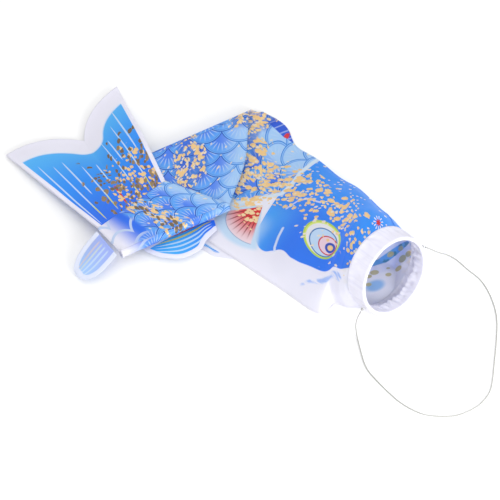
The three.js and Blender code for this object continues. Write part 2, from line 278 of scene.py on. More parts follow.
def unfold(points, folds):
    """Points of a folded section as they lie when it is folded out into line with the head."""
    flat = points[:, :2].copy()
    for fold in folds:
        out = (flat - fold["belly"][:2]) @ TAILWARD[:2]
        flat = flat - 2 * out[:, None] * TAILWARD[:2]
    return flat


def body_print(folds=()):
    """Print coordinates in millimetres: from the mouth, and from the belly seam."""

    def print_at(a, b, points):
        along = -(unfold(points, folds) - PRINT_START) @ FISH_AXIS
        return np.column_stack([along, b * BODY_WIDTH])

    return print_at


def fold_end(fold, length, z):
    spot = fold["belly"] + ALONG_FOLD * length
    spot[2] = z
    return spot


MID_BELLY = [fold_end(FOLD_ONE, 0, MID_LEVEL), fold_end(FOLD_TWO, 0, MID_LEVEL)]
MID_DORSAL = [
    fold_end(FOLD_ONE, FOLD_ONE["length"], MID_LEVEL),
    *([x, y, MID_LEVEL] for x, y in MID_DORSAL_BOW),
    fold_end(FOLD_TWO, FOLD_TWO["length"], MID_LEVEL),
]
TAIL_BELLY = [fold_end(FOLD_TWO, 0, TAIL_LEVEL), FIN_ROOT_BELLY]
TAIL_DORSAL = [fold_end(FOLD_TWO, FOLD_TWO["length"], TAIL_LEVEL), FIN_ROOT_DORSAL]


def section_layer(belly_line, dorsal_line, gaps, crown, side, waviness):
    def surface(s, t):
        belly = spline(belly_line, s)
        points = belly + (spline(dorsal_line, s) - belly) * t[:, None]
        inside = np.sin(np.pi * s) * smooth(t, 0, 0.1) * smooth(1 - t, 0, 0.1)
        gap = gaps[0] + (gaps[1] - gaps[0]) * s
        gap += (SEAM_GAP - gap) * drawn_together(t) * smooth(s, 0, 0.1) * smooth(s, 1, 0.9)
        waves = waviness * (0.7 * ripple(points, 30, 3) + 0.3 * ripple(points, 11, 4))
        points[:, 2] += side * (gap + crown * inside) + (waves + waviness * 0.3) * inside
        return points

    return surface


def fold_band(fold, radius, outward):
    """Cloth that turns half round a fold line, from the lower section to the upper one."""

    def surface(a, b):
        angle = np.pi * (a - 0.5)
        length = (fold["lower_length"] + (fold["length"] - fold["lower_length"]) * a) * b
        lift = np.array([0, 0, 1]) * (radius * np.sin(angle))[:, None]
        reach = TAILWARD * (outward * radius * np.cos(angle))[:, None]
        return fold["belly"] + ALONG_FOLD * length[:, None] + reach + lift

    return surface


def band_print(folds, fold, radius):
    def print_at(a, b, points):
        line = fold["belly"] + ALONG_FOLD * (b * fold["length"])[:, None]
        along = -(unfold(line, folds) - PRINT_START) @ FISH_AXIS
        return np.column_stack([along + (a - 0.5) * np.pi * radius, b * BODY_WIDTH])

    return print_at


# ---- shader arithmetic ----


class Num:
    """A number at each point of a surface, worked out by shader nodes."""

    def __init__(self, tree, socket):
        self.tree = tree
        self.socket = socket

    def math(self, operation, *others):
        node = self.tree.nodes.new("ShaderNodeMath")
        node.operation = operation
        for socket, value in zip(node.inputs, (self, *others)):
            feed(self.tree, socket, value)
        return Num(self.tree, node.outputs[0])

    def __add__(self, other):
        return self.math("ADD", other)

    def __sub__(self, other):
        return self.math("SUBTRACT", other)

    def __mul__(self, other):
        return self.math("MULTIPLY", other)

    def __truediv__(self, other):
        return self.math("DIVIDE", other)

    __radd__ = __add__
    __rmul__ = __mul__

    def __rsub__(self, other):
        return self * -1 + other

    def abs(self):
        return self.math("ABSOLUTE")

    def floor(self):
        return self.math("FLOOR")

    def sin(self):
        return self.math("SINE")

    def wrap(self, period):
        return self.math("FLOORED_MODULO", period)

    def least(self, other):
        return self.math("MINIMUM", other)

    def most(self, other):
        return self.math("MAXIMUM", other)

    def ramp(self, low, high):
        """0 below low and 1 above high, smooth between; low may be the higher of the two."""
        node = self.tree.nodes.new("ShaderNodeMapRange")
        node.interpolation_type = "SMOOTHSTEP"
        flip = low > high
        feed(self.tree, node.inputs["Value"], self)
        node.inputs["From Min"].default_value = min(low, high)
        node.inputs["From Max"].default_value = max(low, high)
        node.inputs["To Min"].default_value = 1 if flip else 0
        node.inputs["To Max"].default_value = 0 if flip else 1
        return Num(self.tree, node.outputs[0])

    def curve(self, points):
        """A smooth function through (x, y) points, level beyond the first and last."""
        xs, ys = zip(*points)
        scale_x, scale_y = xs[-1] - xs[0], max(max(ys) - min(ys), 1e-6)
        node = self.tree.nodes.new("ShaderNodeFloatCurve")
        mapping = node.mapping.curves[0]
        spots = [((x - xs[0]) / scale_x, (y - min(ys)) / scale_y) for x, y in points]
        while len(mapping.points) < len(spots):
            mapping.points.new(0.5, 0.5)
        for spot, (x, y) in zip(mapping.points, spots):
            spot.location = (x, y)
        node.mapping.update()
        feed(self.tree, node.inputs["Value"], (self - xs[0]) / scale_x)
        return Num(self.tree, node.outputs[0]) * scale_y + min(ys)


def feed(tree, socket, value):
    if isinstance(value, Num):
        tree.links.new(value.socket, socket)
    else:
        socket.default_value = value


def length(x, y):
    return (x * x + y * y).math("SQRT")


def angle(y, x):
    return y.math("ARCTAN2", x)


def stroke(u, v, points):
    """Distance from a line through points."""
    nearest = None
    for (ax, ay), (bx, by) in zip(points, points[1:]):
        dx, dy = bx - ax, by - ay
        squared = dx * dx + dy * dy
        share = ((u - ax) * (dx / squared) + (v - ay) * (dy / squared)).most(0).least(1)
        away = length(u - ax - share * dx, v - ay - share * dy)
        nearest = away if nearest is None else nearest.least(away)
    return nearest


def colour(red, green, blue):
    """An sRGB colour given from 0 to 255, as linear numbers."""
    values = [c / 255 for c in (red, green, blue)]
    return tuple(c / 12.92 if c <= 0.04045 else ((c + 0.055) / 1.055) ** 2.4 for c in values) + (1,)


WHITE = colour(246, 245, 254)
PALE = colour(184, 222, 255)
AZURE = colour(44, 158, 254)
ROYAL = colour(44, 122, 246)
DEEP = colour(26, 76, 200)
SKY = colour(100, 206, 255)
GOLD = colour(252, 216, 154)
BROWN = colour(132, 112, 88)


LET_THROUGH = 0.34  # share of the light that thin satin passes on


class Cloth:
    """A satin material whose colour is painted on in layers."""

    def __init__(self, name, base):
        self.material = bpy.data.materials.new(name)
        self.material.use_nodes = True
        self.tree = self.material.node_tree
        self.shader = self.tree.nodes["Principled BSDF"]
        self.paint = base
        self.foil = None
        uv = self.tree.nodes.new("ShaderNodeUVMap")
        uv.uv_map = "print"
        split = self.tree.nodes.new("ShaderNodeSeparateXYZ")
        self.tree.links.new(uv.outputs[0], split.inputs[0])
        self.u = Num(self.tree, split.outputs[0])
        self.v = Num(self.tree, split.outputs[1])

    def attribute(self, name):
        node = self.tree.nodes.new("ShaderNodeAttribute")
        node.attribute_name = name
        return Num(self.tree, node.outputs["Fac"])

    def tint_socket(self, socket, tint):
        if isinstance(tint, tuple):
            socket.default_value = tint
        else:
            self.tree.links.new(tint, socket)

    def layer(self, tint, mask):
        node = self.tree.nodes.new("ShaderNodeMix")
        node.data_type = "RGBA"
        feed(self.tree, node.inputs[0], mask)
        self.tint_socket(node.inputs[6], self.paint)
        self.tint_socket(node.inputs[7], tint)
        self.paint = node.outputs[2]

    def blend_of(self, first, second, share):
        """A tint that runs from first to second with share."""
        kept = self.paint
        self.paint = first
        self.layer(second, share)
        tint, self.paint = self.paint, kept
        return tint

    def texture_spot(self, u, v):
        join = self.tree.nodes.new("ShaderNodeCombineXYZ")
        feed(self.tree, join.inputs[0], u)
        feed(self.tree, join.inputs[1], v)
        return join.outputs[0]

    def cells(self, u, v, size):
        """Distance to the nearest of a scatter of points, as a share of size, and a random number each."""
        spot = self.texture_spot(u / size, v / size)
        node = self.tree.nodes.new("ShaderNodeTexVoronoi")
        node.voronoi_dimensions = "2D"
        node.inputs["Scale"].default_value = 1
        self.tree.links.new(spot, node.inputs["Vector"])
        split = self.tree.nodes.new("ShaderNodeSeparateColor")
        self.tree.links.new(node.outputs["Color"], split.inputs[0])
        lot = [Num(self.tree, split.outputs[i]) for i in range(2)]
        return Num(self.tree, node.outputs["Distance"]), lot

    def mottle(self, u, v, size, detail=2.0):
        spot = self.texture_spot(u / size, v / size)
        node = self.tree.nodes.new("ShaderNodeTexNoise")
        node.inputs["Scale"].default_value = 1
        node.inputs["Detail"].default_value = detail
        self.tree.links.new(spot, node.inputs["Vector"])
        return Num(self.tree, node.outputs["Fac"])

    def flecks(self, u, v, size, density, tint, slant=0.0, largest=0.55):
        """Foil flecks: rounded blobs, drawn out a little along u, as many as density says."""
        wobble = (self.mottle(u, v, size * 0.8) - 0.5) * size * 0.5
        across = v + u * slant + wobble
        away, (lot, spread) = self.cells(u * 0.72 + wobble, across, size)
        reach = (spread * 0.55 + 0.45) * largest
        inside = (away - reach).ramp(0.03, -0.03)
        mask = inside * (density - lot).ramp(0.0, 0.02)
        self.layer(tint, mask)
        self.foil = mask if self.foil is None else self.foil.most(mask)

    def finish(self, roughness=0.46, bump=0.5):
        shader = self.shader
        self.tint_socket(shader.inputs["Base Color"], self.paint)
        shader.inputs["Sheen Weight"].default_value = 0.25
        shader.inputs["Sheen Roughness"].default_value = 0.4
        grain = self.mottle(self.place(0), self.place(1), 0.012, 3.0)
        rough = grain * 0.16 + (roughness - 0.08)
        if self.foil is not None:
            feed(self.tree, shader.inputs["Metallic"], self.foil * 0.12)
            rough = rough - self.foil * 0.1
        feed(self.tree, shader.inputs["Roughness"], rough)
        thread = 0.00042
        twill = ((self.place(0) + self.place(1)) * (math.tau / thread)).sin()
        warp = ((self.place(0) - self.place(1)) * (math.tau / thread)).sin()
        height = grain * 0.5 + twill * warp * 0.007
        node = self.tree.nodes.new("ShaderNodeBump")
        node.inputs["Strength"].default_value = bump
        node.inputs["Distance"].default_value = 0.0012
        feed(self.tree, node.inputs["Height"], height)
        self.tree.links.new(node.outputs[0], shader.inputs["Normal"])
        through = self.tree.nodes.new("ShaderNodeBsdfTranslucent")
        self.tint_socket(through.inputs["Color"], self.paint)
        both = self.tree.nodes.new("ShaderNodeMixShader")
        both.inputs[0].default_value = LET_THROUGH
        self.tree.links.new(shader.outputs[0], both.inputs[1])
        self.tree.links.new(through.outputs[0], both.inputs[2])
        self.tree.links.new(both.outputs[0], self.tree.nodes["Material Output"].inputs["Surface"])
        return self.material

    def place(self, axis):
        if not hasattr(self, "coordinates"):
            where = self.tree.nodes.new("ShaderNodeTexCoord")
            split = self.tree.nodes.new("ShaderNodeSeparateXYZ")
            self.tree.links.new(where.outputs["Object"], split.inputs[0])
            self.coordinates = [Num(self.tree, split.outputs[i]) for i in range(3)]
        return self.coordinates[axis]


# ---- the carp print ----

SCALE_PITCH = 14.2
SCALE_WIDTH = 39.0
SCALE_REACH = 21.5


def scale_field(u, v, pitch=SCALE_PITCH, width=SCALE_WIDTH, reach=SCALE_REACH):
    """Overlapping scales: distance from the visible scale's centre as a share of its reach, and how far along
    and across that scale a point lies.
    """
    row = (u / pitch).floor()

    def local(back):
        this_row = row - back
        shift = this_row.wrap(2) * (width / 2)
        across = (v + shift).wrap(width) - width / 2
        along = u - this_row * pitch
        return along, across, length(along, across)

    along, across, away = local(-1)
    for back in (0, 1):
        ahead = local(back)
        covers = (ahead[2] - reach).math("LESS_THAN", 0)
        along, across, away = (old + (new - old) * covers for old, new in zip((along, across, away), ahead))
    return away / reach, along, across


def paint_scales(cloth, mask, paleness):
    u, v = cloth.u, cloth.v
    away, along, across = scale_field(u, v)
    body = cloth.blend_of(cloth.blend_of(ROYAL, colour(70, 172, 255), away.ramp(0.25, 0.95)), PALE, paleness)
    cloth.layer(body, mask)
    fan = (angle(across, along) * 19).sin().ramp(0.3, 0.9)
    streaks = fan * away.ramp(0.3, 0.42) * away.ramp(0.9, 0.55)
    cloth.layer(colour(196, 224, 255), mask * streaks * 0.8)
    glow = away.ramp(0.8, 0.9) * away.ramp(0.99, 0.95)
    cloth.layer(colour(130, 196, 252), mask * glow * 0.55)
    line = away.ramp(0.945, 0.96) * away.ramp(1.02, 1.0)
    cloth.layer(cloth.blend_of(colour(22, 70, 190), colour(70, 150, 232), paleness), mask * line)
    second = away.ramp(0.86, 0.875) * away.ramp(0.91, 0.895)
    cloth.layer(colour(50, 116, 230), mask * second * 0.6)


EYE_RINGS = [
    (76.2, 64.4, 15.6, colour(196, 226, 84)),
    (76.2, 64.4, 14.3, colour(228, 238, 132)),
    (75.6, 64.1, 13.4, colour(242, 242, 244)),
    (72.8, 62.8, 11.7, colour(28, 120, 190)),
    (72.8, 62.8, 10.8, colour(206, 230, 252)),
    (66.0, 62.8, 7.8, colour(214, 36, 52)),
    (66.0, 62.8, 6.9, colour(246, 220, 232)),
    (61.6, 62.4, 4.3, colour(44, 84, 196)),
    (61.6, 62.4, 2.3, GOLD),
]
EYE_LEAN = math.radians(0.6)
EYE_RATIO = 1.68


def paint_eye(cloth):
    for u, v, radius, tint in EYE_RINGS:
        x, y = cloth.u - u, cloth.v - v
        long = x * (math.cos(EYE_LEAN) / EYE_RATIO) + y * (math.sin(EYE_LEAN) / EYE_RATIO)
        away = length(long, y * math.cos(EYE_LEAN) - x * math.sin(EYE_LEAN))
        cloth.layer(tint, (away - radius).ramp(0.3, -0.3))


def paint_gill(cloth):
    u, v = cloth.u - 161, cloth.v - 62.9
    away = length(u, v)
    turn = angle(u, v * -1)
    reach = turn.curve([(-0.43, 44.5), (0, 42.5), (0.5, 40), (0.83, 33.5)])
    inside = (turn + 0.43).ramp(-0.03, 0.03) * (0.83 - turn).ramp(-0.03, 0.03)
    halo = (turn + 0.62).ramp(-0.05, 0.1) * (1.3 - turn).ramp(-0.05, 0.1) * (away - 50).ramp(3, -3)
    cloth.layer(colour(206, 232, 252), halo * 0.9)
    within = inside * (away - reach).ramp(0.5, -0.5)
    cloth.layer(cloth.blend_of(colour(230, 40, 48), colour(250, 226, 232), away.ramp(16, 42)), within)
    rays = (turn * 38).sin().ramp(0.5, 0.9) * away.ramp(6, 14) * away.ramp(42, 26)
    cloth.layer(colour(150, 24, 42), within * rays)
    rim = ((away - reach).abs() - 0.4).ramp(0.3, -0.3)
    cloth.layer(colour(120, 160, 200), inside * rim * 0.7)
    cloth.flecks(cloth.u + 5, cloth.v + 3, 3.9, within * away.ramp(36, 10), colour(254, 226, 176), slant=0.3)


def paint_nostril(cloth):
    u, v = cloth.u - 29.7, (cloth.v - 123.2) / 0.8
    away = length(u, v)
    turn = angle(v, u)
    dashes = (turn * 11).sin().ramp(0.3, 0.7) * away.ramp(3.8, 4.4) * away.ramp(8.6, 7.6)
    cloth.layer(WHITE, dashes)
    points = (turn * 7).sin() * 0.9 + 3.3
    cloth.layer(colour(222, 30, 40), (away - points).ramp(0.3, -0.3))


GILL_EDGE = [(30, 196), (47, 188), (60, 180), (76, 164), (85, 156), (98, 154.5), (116, 157), (145, 155)]
CHEEK_EDGE = [
    (29.5, 58.6), (48.8, 44.5), (70.3, 38.5), (93, 32.6), (109, 34.5), (118, 29), (127.4, 24), (139, 28),
    (146, 36), (150, 50), (158, 90),
]


def paint_body(name, reverse=False):
    cloth = Cloth(name, AZURE)
    u, v = cloth.u, cloth.v
    # The head's blue deepens from the back down to the cheek, and fades behind it.
    cloth.layer(ROYAL, v.ramp(112, 62) * 0.8)
    cloth.layer(colour(72, 172, 252), u.ramp(104, 146) * v.ramp(92, 60))
    cloth.layer(colour(190, 224, 254), u.ramp(130, 152) * v.ramp(62, 40) * 0.8)
    # Scales cover the body behind the gill cover's edge.
    edge = v.curve(GILL_EDGE)
    behind = (u - edge).ramp(-0.5, 0.5)
    dorsal_pale = v.ramp(100, 124) * u.ramp(250, 210)
    mid_pale = v.ramp(112, 140) * u.ramp(236, 262)
    fade = cloth.mottle(u, v, 60) * 0.3
    paint_scales(cloth, behind, (dorsal_pale + mid_pale * 0.8 + fade).least(0.95))
    # Belly: white under the cheek and along the body.
    cheek = u.curve(CHEEK_EDGE)
    under = (v - cheek).ramp(0.5, -0.5) * (1 - behind)
    cloth.layer(WHITE, under)
    belly_edge = u.curve([(150, 40), (200, 26), (300, 20), (390, 24), (470, 20)])
    cloth.layer(WHITE, (v - belly_edge).ramp(8, -8) * behind)
    paint_belly_scales(cloth)
    paint_gill(cloth)
    # The gill cover's pale edge, the marks behind the eye and the lip.
    rim = stroke(u, v, [(155, 146), (157, 116), (154, 98), (155, 85), (164, 75.6), (179.6, 60), (188, 47)])
    cloth.layer(colour(226, 240, 252), (rim - 2.4).ramp(0.6, -0.6))
    arc = stroke(u, v, [(137.3, 72.2), (132.3, 84.9), (123.8, 91.2), (107, 91.9)])
    cloth.layer(colour(214, 218, 252), (arc - 1.0).ramp(0.4, -0.4))
    crescent = stroke(u, v, [(124, 53), (122, 44), (118, 33), (116, 30.5)])
    cloth.layer(colour(222, 234, 255), (crescent - 1.3).ramp(0.7, -0.7))
    lip = stroke(u, v, [(33, 45.3), (50, 34), (62, 27.7), (70, 17.3)])
    width = u.curve([(34, 4), (62, 1.6), (72, 0.5)])
    broken = cloth.mottle(u, v * 3, 14).ramp(0.35, 0.6)
    cloth.layer(colour(150, 190, 252), (lip - width).ramp(1.4, -1.4) * broken * 0.8)
    paint_eye(cloth)
    paint_nostril(cloth)
    paint_back_fin(cloth)
    paint_gold(cloth)
    if reverse:
        paint_inside(cloth)
    return cloth.finish()


INSIDE_SPOTS = [
    (10, 86, 4.2), (25.2, 90, 3.0), (10, 75.6, 3.2), (27.4, 64.2, 3.6), (15, 65.5, 2.6), (23, 46.5, 2.6),
    (29.1, 57.2, 2.8), (17, 97, 3.0), (5, 92, 3.6), (20, 74, 1.6),
]


def paint_inside(cloth):
    """The reverse of the satin, nearly white: the print shows faintly and the marks by the mouth clearly;
    towards the mouth it is painted whiter still as painted light.
    """
    u, v = cloth.u, cloth.v
    # White wash: partly the satin's paler back, partly painted light for the light let through the thin cloth
    # into the mouth, strongest towards the mouth.
    cloth.layer(colour(243, 244, 253), u.ramp(96, 50) * 0.16 + 0.82)
    crescent = stroke(u, v, [(37, 74), (31, 83), (20, 95), (8, 107)])
    thick = u.curve([(6, 0.6), (16, 3.6), (26, 4.6), (37, 0.8)])
    cloth.layer(colour(112, 182, 240), (crescent - thick).ramp(0.7, -0.7))
    teal = cloth.mottle(u, v, 9).ramp(0.52, 0.62)
    cloth.layer(colour(70, 130, 160), (crescent - thick).ramp(0.7, -0.7) * teal * 0.7)
    patch = length(u - 17, (v - 47) * 0.8)
    cloth.layer(colour(150, 200, 244), (patch - 7).ramp(2.5, -2.5) * 0.9)
    for x, y, size in INSIDE_SPOTS:
        spot = length(u - x, v - y)
        cloth.layer(colour(206, 196, 140), (spot - size).ramp(0.5, -0.5) * 0.85)


def paint_belly_scales(cloth):
    """Large scales with white outlines along the belly of the tail section."""
    u, v = cloth.u, cloth.v
    away = scale_field(u + 5, v + 8, 20, 40, 26)[0]
    here = u.ramp(392, 402) * v.ramp(52, 44)
    fade = v.ramp(4, 40)
    cloth.layer(cloth.blend_of(WHITE, ROYAL, fade), here)
    line = away.ramp(0.86, 0.9) * away.ramp(1.02, 0.98)
    cloth.layer(colour(205, 222, 248), here * line)


def paint_back_fin(cloth):
    u, v = cloth.u, cloth.v
    edge = u.curve([(188, 146), (195.8, 140.5), (206.3, 135.5), (226, 137)])
    here = u.ramp(187, 190) * u.ramp(228, 220) * (v - edge).ramp(-0.5, 0.5)
    cloth.layer(colour(44, 100, 224), here)
    rays = ((v * 0.35 + u) * 0.75).sin().ramp(0.7, 0.95)
    cloth.layer(colour(190, 214, 252), here * rays * 0.6)
    red = (length(u - 199, (v - 140.2) * 0.6) - 2.6).ramp(0.5, -0.5)
    cloth.layer(colour(226, 60, 70), here * red)


FOLD_BAND = [(244.5, 140), (227.7, 124), (224.7, 111.7), (207.8, 102.5), (206.5, 86.5), (192.6, 64.9)]


def paint_gold(cloth):
    u, v = cloth.u, cloth.v
    beside_fold = (stroke(u, v, FOLD_BAND) - 5).ramp(3, -2)
    cluster = length((u - 301) / 31, (v - 83) / 20).ramp(1.15, 0.75)
    corner = u.ramp(214, 222) * v.ramp(124, 130) * u.ramp(262, 254)
    dark = beside_fold.most(cluster).most(corner)
    cloth.layer(DEEP, dark * 0.5)
    head = (v - u.curve([(0, 88), (60, 92), (110, 98), (150, 98), (200, 94), (240, 110)])).abs()
    towards_fold = u.curve([(0, 0.26), (60, 0.42), (120, 0.5), (160, 0.72), (210, 0.8)])
    sparse = head.ramp(34, 4) * u.ramp(236, 215) * towards_fold
    tail = u.ramp(352, 380) * (v - 76).abs().ramp(22, 6) * 0.55
    density = sparse.most(dark * 0.66).most(tail)
    cover = (stroke(u, v, [(150, 92), (156, 82), (168, 68), (184, 54)]) - 5).ramp(4, -1) * 0.6
    density = density.most(cover)
    cloth.flecks(u, v, 5.0, density, GOLD, slant=0.35)
    cloth.flecks(u + 71, v + 37, 7.6, density * 0.5, GOLD, slant=0.2, largest=0.5)
    cloth.flecks(u + 23, v + 91, 3.8, density * 0.6, colour(254, 226, 170), slant=-0.2, largest=0.5)
    specks = v.ramp(40, 60) * 0.09
    cloth.flecks(u + 13, v + 5, 3.6, specks + density * 0.3, colour(246, 234, 214), slant=0.5, largest=0.42)
    cloth.flecks(u + 31, v + 77, 5.6, tail * 0.8, BROWN, slant=-0.3)


# ---- pieces ----

PRINT = paint_body("carp_print")
PRINT_BACK = paint_body("carp_print_back", reverse=True)


def hem_material():
    cloth = Cloth("hem_satin", WHITE)
    # Lavender-grey streaks across the white hem: painted shade of its gathers and puckers.
    painted_shade_streaks = cloth.mottle(cloth.u * 6, cloth.v * 0.4, 30, 3.0)
    cloth.layer(colour(218, 218, 236), painted_shade_streaks.ramp(0.45, 0.75) * 0.4)
    return cloth.finish(roughness=0.42, bump=0.7)


HEM = hem_material()


def ride_neck(piece):
    """Bakes the head section's cloth where it lies, behind the mouth."""
    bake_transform(piece)


def add_body():
    made = {}
    for side, name in ((1, "right"), (-1, "left")):
        head = grid(f"head_{name}_side", 190, 110, head_layer(side), body_print(), turned=side > 0)
        made[f"head_cloth_{name}"] = head
        waviness = 1.6 if side < 0 else 0.5
        mid = section_layer(MID_BELLY, MID_DORSAL, (FOLD_GAP, FOLD_GAP), 0.4, -side, waviness)
        mid_print = body_print([FOLD_ONE])
        made[f"mid_cloth_{name}"] = grid(f"mid_{name}_side", 80, 90, mid, mid_print, turned=side > 0)
        waviness = 1.2 if side > 0 else 0.3
        tail = section_layer(TAIL_BELLY, TAIL_DORSAL, (FOLD_GAP, EDGE_GAP), 0.4, side, waviness)
        tail_print = body_print([FOLD_TWO, FOLD_ONE])
        made[f"tail_cloth_{name}"] = grid(f"tail_{name}_side", 60, 90, tail, tail_print, turned=side > 0)
    for node, piece in made.items():
        body = node.split("_")[0]
        thicken(piece, PRINT, PRINT_BACK)
        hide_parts(node)
        if body == "head":
            ride_neck(piece)
        else:
            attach(piece, body)
    return made


def seam_length(line):
    return np.linalg.norm(np.diff(spline(line, np.linspace(0, 1, 200)), axis=0), axis=1).sum()


def outline_area(points):
    """Area on the plan inside a closed outline, in square millimetres."""
    x, y = np.asarray(points)[:, 0], np.asarray(points)[:, 1]
    return abs(x @ np.roll(y, -1) - y @ np.roll(x, -1)) / 2


def declare_body(turns, edges):
    """Works out each layer's cut, as wide as the flat body and as long as its two seams on average."""
    tail_width = (FOLD_TWO["length"] + np.linalg.norm(FIN_ROOT_DORSAL - FIN_ROOT_BELLY)) / 2
    cuts = {
        "head": (BODY_WIDTH, BELLY_EDGE, DORSAL_EDGE, "right", []),
        "mid": (BODY_WIDTH, MID_BELLY, MID_DORSAL, "left", ["head_right_side"]),
        "tail": (tail_width, TAIL_BELLY, TAIL_DORSAL, "right", ["mid_left_side"]),
    }
    for section, (width, belly, dorsal, showing, under) in cuts.items():
        long = (seam_length(belly) + seam_length(dorsal)) / 2
        for side in ("right", "left"):
            goes_with = []
            if side == showing:
                goes_with = [e for e in edges if e.name.startswith(section)] + turns.get(section, [])
            width * MM


def add_folds():
    turns = {"mid": [], "tail": []}
    bands = [
        ("fold_one_cloth_left", FOLD_ONE, "outer", 1, "head", "mid", []),
        ("fold_one_cloth_right", FOLD_ONE, "inner", 1, "head", "mid", []),
        ("fold_two_cloth_right", FOLD_TWO, "outer", -1, "mid", "tail", [FOLD_ONE]),
        ("fold_two_cloth_left", FOLD_TWO, "inner", -1, "mid", "tail", [FOLD_ONE]),
    ]
    for node, fold, key, outward, lower, upper, folds in bands:
        radius = fold[key]
        surface = fold_band(fold, radius, outward)
        turned = (key == "outer") == (outward < 0)
        band = grid(
            node.replace("cloth", "turn"), 16, 80, surface, band_print(folds, fold, radius), turned=turned
        )
        thicken(band, PRINT, PRINT_BACK)
        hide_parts(node)
        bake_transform(band)
        turns[upper].append(band)
    return turns


def hem_profile(along):
    """Radius and forward distance along the hem's cloth, from its outer back edge round the wire."""
    arc_start, arc_end = 0.42, 0.6
    turn = np.pi * np.clip((along - arc_start) / (arc_end - arc_start), 0, 1)
    radius = HOOP_RADIUS + HEM_RADIUS * np.cos(turn)
    forward = HEM_RADIUS * np.sin(turn)
    forward = np.where(along < arc_start, -HEM_WIDTH * (1 - along / arc_start), forward)
    inner = -HEM_INNER_WIDTH * (along - arc_end) / (1 - arc_end)
    return radius, np.where(along > arc_end, inner, forward)


def hem_surface(a, b):
    turn = 2 * np.pi * a
    radius, forward = hem_profile(b)
    loose = np.maximum(smooth(b, 0.4, 0.1), smooth(b, 0.62, 0.9))
    gathers = np.sin(turn * 23 + 2 * np.sin(turn * 5)) * (0.6 + 0.4 * np.sin(turn * 7 + 1))
    puckers = np.sin(turn * 41 + 3 * np.sin(turn * 3) + b * 9)
    tucked = smooth(b, 0.0, 0.06)
    radius = radius + (gathers * 0.6 + puckers * 0.35) * loose * np.where(b > 0.5, 1.5, tucked)
    forward = forward + loose * 0.8 * np.sin(turn * 9 + 2) * (b > 0.5)
    points = at_hoop(turn, radius, forward)
    crumple = 0.7 * ripple(points, 9, 11) + 0.35 * ripple(points, 4, 12)
    points = at_hoop(turn, radius + crumple * loose * np.where(b > 0.5, 1, tucked), forward)
    points[:, 2] = np.maximum(points[:, 2], np.where(b < 0.5, 0.3, 1.2))
    return points


def add_mouth():
    hem = grid("hem", 240, 40, hem_surface, lambda a, b, points: np.column_stack([a * 290, b * 25]))
    thicken(hem, HEM, HEM)
    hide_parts("mouth_hem")
    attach(hem, "mouth")


def quadratic(start, bow, end, t):
    t = t[:, None]
    return start * (1 - t) ** 2 + bow * 2 * t * (1 - t) + end * t**2


def fin_edge(b):
    first = quadratic(TIP_BELLY, BOW_BELLY, NOTCH, np.clip(2 * b, 0, 1))
    second = quadratic(NOTCH, BOW_DORSAL, TIP_DORSAL, np.clip(2 * b - 1, 0, 1))
    return np.where((b < 0.5)[:, None], first, second)


def tail_fin_layer(side):
    def surface(a, b):
        root = FIN_ROOT_BELLY + (FIN_ROOT_DORSAL - FIN_ROOT_BELLY) * b[:, None]
        edge = fin_edge(b)
        edge[:, 2] = root[:, 2]
        points = root + (edge - root) * a[:, None]
        late = smooth(a, 0.3, 1)
        points[:, 2] -= FIN_DROP * (a * (1 - b) + late * b)
        waves = ripple(points, 34, 5 + side) * smooth(a, 0, 0.3)
        points[:, 2] += side * (FIN_ROOT_GAP + (FIN_TIP_GAP - FIN_ROOT_GAP) * a) + waves * 1.2
        return points

    return surface


def distance_to(points, outline):
    """Distance on the plan from each point to a line through outline."""
    best = np.full(len(points), 1e9)
    for start, end in zip(outline, outline[1:]):
        along = end[:2] - start[:2]
        share = np.clip(((points[:, :2] - start[:2]) @ along) / max(along @ along, 1e-9), 0, 1)
        away = points[:, :2] - start[:2] - share[:, None] * along
        best = np.minimum(best, np.linalg.norm(away, axis=1))
    return best


def tail_fin_rim(a, b, points):
    """How far inside the white margin a point is: below 1 it is on the margin."""
    trailing = fin_edge(np.linspace(0, 1, 81))
    sides = np.minimum(
        distance_to(points, [FIN_ROOT_BELLY, TIP_BELLY]), distance_to(points, [FIN_ROOT_DORSAL, TIP_DORSAL])
    )
    return np.minimum(distance_to(points, trailing) / 18, sides / 4.2)


TAIL_RAYS = [
    (0.065, 0.02, 0.76, False), (0.15, 0.03, 0.7, True), (0.23, 0.3, 0.72, False), (0.335, 0.05, 0.62, True),
    (0.45, 0.36, 0.62, False), (0.65, 0.0, 0.75, True), (0.72, 0.42, 0.68, False), (0.82, 0.0, 0.75, True),
    (0.9, 0.4, 0.85, False),
]


def paint_tail_fin(name, reverse=False):
    cloth = Cloth(name, ROYAL)
    a, b = cloth.u, cloth.v
    rim = cloth.attribute("rim")
    cloth.layer(AZURE, a.ramp(0.0, 0.5))
    cloth.layer(SKY, a.ramp(0.4, 0.95) * 0.85)
    for spot, start, end, yellow in TAIL_RAYS:
        width = a.curve([(start, 0.004), (start + (end - start) * 0.35, 0.0068), (end, 0.001)])
        bend = a * a * ((spot - 0.5) * 0.05)
        here = ((b - spot + bend).abs() - width).ramp(0.0015, -0.0015) * a.ramp(end + 0.01, end - 0.03)
        here = here * a.ramp(start - 0.02, start + 0.02)
        cloth.layer(colour(214, 236, 255), here * 0.92)
        if yellow:
            cloth.layer(colour(226, 226, 96), here * a.ramp(start + 0.22, start + 0.1))
    red = ((b - 0.46).abs() - 0.011).ramp(0.003, -0.003) * a.ramp(0.3, 0.26) * a.ramp(0.02, 0.06)
    cloth.layer(colour(222, 44, 62), red)
    x, y = a * 125, b * 100
    density = b.ramp(0.1, 0.5) * a.ramp(0.62, 0.2) * 0.55
    cloth.flecks(x, y, 4.2, density * b.ramp(0.3, 0.6) * 1.3, GOLD, slant=0.3)
    cloth.flecks(x + 31, y + 17, 5.0, density * 0.85, colour(166, 140, 104), slant=-0.2)
    cloth.flecks(x + 57, y + 41, 4.2, a.ramp(0.8, 0.3) * 0.3 * b.ramp(0.15, 0.4), BROWN)
    cloth.layer(colour(232, 240, 252), (rim - 1.06).ramp(0.05, -0.05))
    cloth.layer(WHITE, (rim - 1).ramp(0.02, -0.02))
    if reverse:
        cloth.layer(WHITE, 0.6)
    return cloth.finish()


